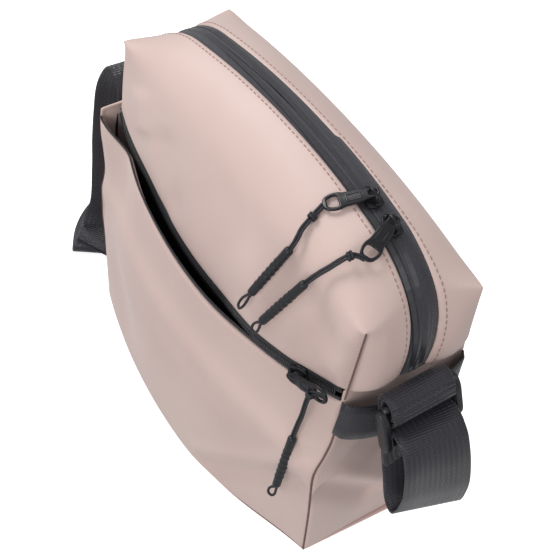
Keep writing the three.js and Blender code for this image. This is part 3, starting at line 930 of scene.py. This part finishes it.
def slider(tag, place):
    """Two shield plates joined by side lips, a bridge for the pull and a stud at each end."""
    body = f"{tag}_slider"
    pieces = []
    for part, z in (("top", 1.15), ("under", -3.3)):
        level = place @ Matrix.Translation((0, 0, z))
        pieces.append(plate(f"{body}_{part}", [rounded(SHIELD, 2.4)], 1.3, 0.45, METAL, level))
    for part, y in (("left", -4.35), ("right", 4.35)):
        rail = [(-1.8, y, 0.2), (1.5, y, -0.1), (4.6, y, 0.0)]
        pieces.append(tube(f"{body}_lip_{part}", rail, 0.85, METAL, place, flat=0.8))
    arch = [(x, 0, z) for x, z in BRIDGE_HALF + [(-x, z) for x, z in reversed(BRIDGE_HALF)]]
    pieces.append(tube(f"{body}_bridge", arch, 0.95, METAL, place, flat=1.25))
    for part, x in (("nose", -5.0), ("tail", 5.2)):
        stud = [(x, 0, 1.2), (x, 0, 2.2), (x, 0, 2.6)]
        pieces.append(tube(f"{body}_{part}_stud", stud, 1.5, METAL, place, sides=16))
    for k, piece in enumerate(pieces):
        dress(piece, "metal", *([body] if k == 0 else []), body=body)


def pull(tag, place, twist, dip):
    """The flat metal pull with its ring end. Returns where it ends up."""
    body = f"{tag}_pull"
    turned = place @ Matrix.Translation((0, 0, PIVOT)) @ Matrix.Rotation(math.radians(twist), 4, "Z")
    turned = turned @ Matrix.Rotation(math.radians(dip), 4, "X")
    outlines = [rounded(both_sides(PULL_HALF), 1.6), rounded(EYE, 1.2), rounded(RING_HOLE, 1.5)]
    dress(plate(body + "_plate", outlines, 1.7, 0.55, METAL, turned), "metal", body, body=body)
    raised = turned @ Matrix.Translation((0, 0, 0.85))
    rim = [rounded(RIM_EDGE, 1.0), rounded(RIM_HOLE, 0.7)]
    dress(plate(body + "_rim", rim, 0.5, 0.2, METAL, raised), "metal", body=body)
    return turned


# ---- pull cords ----
CORD_R = 0.75
STRAND = 0.8
SLEEVE_R = 2.45
SLEEVE_SIDES = 16
KNOT_AT = 8
END_LOOP = [(0.3, 1.5), (0.65, 2.3), (0.95, 1.3), (0.95, -1.3), (0.65, -2.3), (0.3, -1.5)]


def moulded_grip(tag, start, end, outward):
    """A grip on the cord: a round bar with plain ribs and drawn-in ends."""
    centres = smooth_line([start, (start + end) / 2, end], 24)
    t = np.linspace(0, 1, len(centres))
    radius = SLEEVE_R - 0.75 * (1 - smooth(t, 0, 0.03)) - 0.75 * smooth(t, 0.97, 1)
    rib = (np.abs((t - 0.24) % 0.1 - 0.05) < 0.018) & (t > 0.2) & (t < 0.82)
    radius = radius + 0.28 * rib
    angle = np.arange(SLEEVE_SIDES) * 2 * math.pi / SLEEVE_SIDES
    axis = unit(end - start)
    a = unit(np.cross(axis, outward))
    circle = np.cos(angle)[:, None] * a + np.sin(angle)[:, None] * np.cross(axis, a)
    rings = centres[:, None] + radius[:, None, None] * circle
    faces = [tuple(f) for f in grid_faces(len(rings), SLEEVE_SIDES, closed=True)]
    last = SLEEVE_SIDES * (len(rings) - 1)
    faces += [tuple(range(SLEEVE_SIDES)), tuple(range(last + SLEEVE_SIDES - 1, last - 1, -1))]
    obj = new_object(f"{tag}_sleeve", rings.reshape(-1, 3), faces, GRIP)
    fix_normals(obj)
    return dress(obj, "grip", f"{tag}_grip", body=f"{tag}_cord")


def cord_and_grip(tag, turned, route):
    """A doubled cord from the ring, through the grip, ending in a small loop.

    route gives the knot, points on the way, the grip's start and end and the loop's tip."""
    body = f"{tag}_cord"
    knot, *way, start, end, tip = [np.array(p, float) for p in route]
    ring = np.array(turned @ Vector((0, -RING_END, 0)))
    line = smooth_line([ring, knot, *way, start, end], 6)
    tangents = unit(np.gradient(line, axis=0))
    outward = np.array(turned.to_3x3() @ Vector((0, 0, 1)))
    across = unit(np.cross(tangents, outward))
    down = line + across * STRAND
    back = (line - across * STRAND)[::-1]
    loop = [end + (tip - end) * t + across[-1] * w for t, w in END_LOOP]
    path = smooth_line(np.concatenate([down[::3], loop, back[::3]]), 4)
    data = bpy.data.curves.new(body + "_line", "CURVE")
    data.dimensions = "3D"
    data.bevel_depth = CORD_R * MM
    data.bevel_resolution = 4
    data.use_fill_caps = True
    poly_spline(data, path)
    data.materials.append(CORD)
    piece = bpy.data.objects.new(body + "_line", data)
    bpy.context.scene.collection.objects.link(piece)
    dress(piece, "cord", body, body + "_loop", body=body)
    sleeve = moulded_grip(tag, start, end, outward)
    turns = [math.cos(q) * across[KNOT_AT] + math.sin(q) * outward for q in np.arange(8) * math.pi / 4]
    knot_turn = [knot + 1.805 * t for t in turns]
    for name, shift in (("knot", 0.0), ("knot_two", 1.5)):
        turn = [p + tangents[KNOT_AT] * shift for p in knot_turn]
        dress(tube(f"{tag}_{name}", turn, 0.8, CORD, closed=True), "cord", body=body)


# The knot, a point on the way, the grip's start and end, and the end loop's tip.
CORD_ROUTES = {
    "main_a": [(58.5, -25.5, 223.2), (61, -33.6, 219.2), (63.2, -40.5, 210.8),
               (53.5, -54, 175.0), (47.5, -56.5, 160)],
    "main_b": [(90.5, -24.5, 224.5), (87, -34, 217), (82.8, -43.5, 206.5),
               (69.5, -57, 171.0), (63.5, -57.5, 158)],
    "pocket": [(108.8, -49.8, 152.8), (106.5, -51, 133), (102.6, -51.3, 109.5),
               (102.4, -56.8, 68), (99.5, -58, 57)],
}
PULL_TURNS = {"main_a": (-20, 19), "main_b": (26, 12), "pocket": (97, -4)}
for tag, (twist, dip) in PULL_TURNS.items():
    spot = pocket_place() if tag == "pocket" else main_place(tag)
    slider(tag, spot)
    cord_and_grip(tag, pull(tag, spot, twist, dip), CORD_ROUTES[tag])


# ---- webbing ----
def strap_section(width):
    """Webbing cut across: a flat band with softly rounded selvedges."""
    w, t = width / 2, WEB_T / 2
    top = [(-w, 0), (-w + 0.5, t), (-w * 0.5, t), (0, t), (w * 0.5, t), (w - 0.5, t), (w, 0)]
    return top + [(w - 0.5, -t), (0, -t), (-w + 0.5, -t)]


def square_to(tangent, side):
    return unit(side - tangent * np.sum(side * tangent, axis=1, keepdims=True))


def ribbon(name, centre, side, width):
    """Webbing along a line, its width lying as near to side as it can."""
    tangent = unit(np.gradient(centre, axis=0))
    side = square_to(tangent, side)
    return sweep(name, centre, side, np.cross(tangent, side), strap_section(width), WEB)


def strap_between(name, first, second, *nodes):
    """Webbing whose two edges follow the given lines, kept above the floor."""
    a, b = smooth_line(first, 8), smooth_line(second, 8)
    centre = (a + b) / 2
    centre[:, 2] = np.maximum(centre[:, 2], WEB_T)
    piece = ribbon(name, centre, unit(b - a), WEBBING)
    for vertex in piece.data.vertices:
        vertex.co.z = max(vertex.co.z, 0.0003)
    return dress(piece, "webbing", *nodes)


def tab_band(name, end, node):
    """The wide band pulled tight over the end of the bag, tucked into a seam at both sides."""
    t = np.linspace(0, 1, 41)
    y = lerp(-39.5, 37.5, t)
    x = lerp(120.8, BAND_X - 0.6, np.sin(math.pi * t) ** 0.4)
    z = BAND_Z - 0.5 - 5 * np.sin(math.pi * t)
    upright = np.tile([0.0, 0.0, 1.0], (len(t), 1))
    dress(ribbon(name, stack(end * x, y, z), upright, 2 * BAND_HALF - 2), "webbing", node)


tab_band("tab_right", 1, "tab_webbing_right")
tab_band("tab_left", -1, "tab_webbing_left")

# ---- adjuster: X out of the bag, Y along its bars, Z up its face ----
BAR_AXIS = Vector((0, 43.4, 5.7)).normalized()
face_out = Vector((math.cos(ADJUSTER_TILT), 0, math.sin(ADJUSTER_TILT)))
face_out = (face_out - BAR_AXIS * face_out.dot(BAR_AXIS)).normalized()
ADJUSTER_PLACE = Matrix((face_out, BAR_AXIS, face_out.cross(BAR_AXIS))).transposed().to_4x4()
ADJUSTER_PLACE.translation = ADJUSTER
ON_EDGE = Matrix(((1, 0, 0), (0, 0, -1), (0, 1, 0))).to_4x4()
CHEEK = [(-4.2, -13.8), (1.5, -14.6), (4.6, -10), (4.6, 8.5), (1.0, 14.2), (-4.2, 12.0)]
CHEEK_Y = 21.7
BARS = {"upper": 12.6, "middle": 0, "lower": -11}
for name, y, nodes in (("front", -CHEEK_Y, ["tri_glide"]), ("rear", CHEEK_Y, [])):
    place = ADJUSTER_PLACE @ Matrix.Translation((0, y, 0)) @ ON_EDGE
    cheek = plate(f"adjuster_{name}", [rounded(CHEEK, 3.2)], 4.6, 1.3, PLASTIC, place)
    dress(cheek, "adjuster_plastic", *nodes)
for name, z in BARS.items():
    line = [(0, -21, z), (0, 0, z), (0, 21, z)]
    bar = tube(f"adjuster_bar_{name}", line, 2.0, PLASTIC, ADJUSTER_PLACE, sides=12)
    dress(bar, "adjuster_plastic")


def wrap(name, line, width, *nodes):
    """Webbing wound around the adjuster's bars; line holds (out, up) points."""
    points = smooth_line([(out, 0, up) for out, up in line], 5)
    centre = np.array([ADJUSTER_PLACE @ Vector(p) for p in points])
    tangent = unit(np.gradient(centre, axis=0))
    side = np.tile(np.array(BAR_AXIS), (len(centre), 1))
    piece = sweep(name, centre, side, np.cross(tangent, side), strap_section(width), WEB)
    dress(piece, "webbing", *nodes)


# Behind the bars, over the upper one, then down its front in small ridges and into the slot.
OUTER_WRAP = [(-7.5, -16), (-7.4, -4), (-7.6, 8), (-7.0, 15), (-4.5, 19), (-1, 20.2), (2.2, 19.4),
              (4.6, 17.4), (5.6, 16.0), (5.1, 14.7), (6.2, 13.4), (5.6, 12.0), (6.4, 10.6), (5.9, 9.0),
              (6.2, 7.2), (5.0, 5.2), (2.5, 4.2), (-1.5, 3.8)]
INNER_WRAP = [(-5.4, -3), (-5.4, 8), (-4.6, 15), (-1.5, 17.8), (1.8, 17.2), (3.8, 14.6), (4.2, 11),
              (3.8, 8), (2, 6.4)]
wrap("wrap_outer", OUTER_WRAP, WEBBING, "strap_end_wrap")
wrap("wrap_inner", INNER_WRAP, 37.4)

# ---- strap ----
# The hanging loop's two edges: out of the slot, down in front, round and up against the bag.
LOOP_FRONT = [(138.5, -23.6, 144.0), (142.5, -23.8, 145.2), (148, -24.6, 146.8), (155, -26.2, 146.8),
              (159.5, -26.5, 142), (162, -25.5, 129.7), (160.5, -21.3, 108), (156, -17.5, 90),
              (151.5, -14.5, 77), (146.5, -13, 71), (140, -11.5, 74.5), (135.5, -11.5, 88),
              (133, -13.5, 104), (131.8, -17.5, 125), (132.2, -20.5, 142), (134.2, -22.8, 156)]
LOOP_REAR = [(138.5, 13.0, 149.4), (142.5, 13.0, 150.4), (148, 12.6, 151.4), (156.5, 12.0, 150.2),
             (163, 12.3, 144.5), (167.5, 14.2, 130), (169, 18.0, 108), (166.5, 21.4, 91),
             (162.5, 23.6, 78), (156.5, 24.8, 72.5), (148.5, 25.2, 76), (141.5, 25.2, 90),
             (137, 23.6, 104), (133, 20.5, 125), (132.2, 17.0, 142), (134.2, 15.4, 158)]
strap_between("strap_loop", LOOP_FRONT, LOOP_REAR, "strap_right_loop")

# The run behind the bag: x, y, z and how far the webbing has turned to stand on its edge.
RUN = [(137.5, 0, 128, 0), (135.5, 4, 108, 0), (133, 20, 84, 0.5), (128.5, 42, 68, 1), (112, 58, 58, 1),
       (80, 70, 44, 1), (40, 80, 32, 1), (-10, 86, 22, 1), (-70, 88, 19.8, 1), (-125, 80, 19.8, 1),
       (-162, 64, 19.8, 1)]
# Its end lies down on the floor and folds up into the left drop.
FOLD_LOW = [(-180, 46, 0.8), (-190, 20, 0.9), (-194, -4, 0.9), (-194, -22, 0.8), (-183, -36, 0.8),
            (-170, -45, 0.8), (-163, -48.5, 3), (-165, -45, 6), (-169.5, -38, 12)]
FOLD_HIGH = [(-180, 46, 38.6), (-186, 26, 37), (-181, 14, 30), (-169, 3, 13), (-160, -7, 2.5),
             (-147, -15, 0.8), (-140, -18.5, 3), (-142, -15, 6), (-150, -6, 14)]
run = np.array(RUN, float)
heading = unit(np.gradient(run[:, :3], axis=0))
standing = run[:, 3] ** 0.8
width_way = square_to(heading, unit(stack(0, 1 - standing, standing)))
low_edge = np.concatenate([run[:, :3] - width_way * WEBBING / 2, FOLD_LOW])
high_edge = np.concatenate([run[:, :3] + width_way * WEBBING / 2, FOLD_HIGH])
strap_between("strap_run", low_edge, high_edge, "strap_back_run", "strap_right_drop")

# The left drop, as x and z, from the left band over the shoulder and down.
DROP = [(-126.5, 150), (-128.6, 158), (-130.6, 165), (-135, 171), (-142, 171.5), (-150, 161), (-157, 145),
        (-160, 125), (-162, 99), (-162, 75), (-165, 38)]
drop_front = [(x, -35, z) for x, z in DROP] + FOLD_LOW[-1:]
drop_rear = [(x, 3, z) for x, z in DROP] + FOLD_HIGH[-1:]
strap_between("strap_left", drop_front, drop_rear, "strap_left_drop")


# ---- painted seam shadows ----
def seam_shadow_line(name, line, radius):
    """A dark tube along the line where two pieces of cloth are sewn edge to edge: painted shadow in the
    seam's groove.
    """
    points = smooth_line(line, 10)[::2]
    dress(tube(name, points, radius, PAINTED_CREASE_SHADOW, sides=8), "shell")


dart_foot = np.array((121.8, -38.2, 156))
seam_shadow_line("dart_seam_shadow", [lerp(np.array(DART[0]), dart_foot, t) for t in np.linspace(0, 1, 5)], 0.55)
heights = np.array([152, 140, 128, 116, 106, 98, 90, 75, 55, 35, 18, 12.5])
for end, name in ((1, "right"), (-1, "left")):
    corner = stack(end * (half_x(heights) - 0.9), -seam_y(heights) + 0.9, heights)
    if end < 0:
        corner = corner + corner_flare(-1, heights)
    else:
        normal, offset, _ = TURN_UNDER
        corner = corner - normal * np.maximum(corner @ normal - offset + 1.0, 0)[:, None]
    seam_shadow_line(f"corner_seam_shadow_{name}", corner, 0.6)
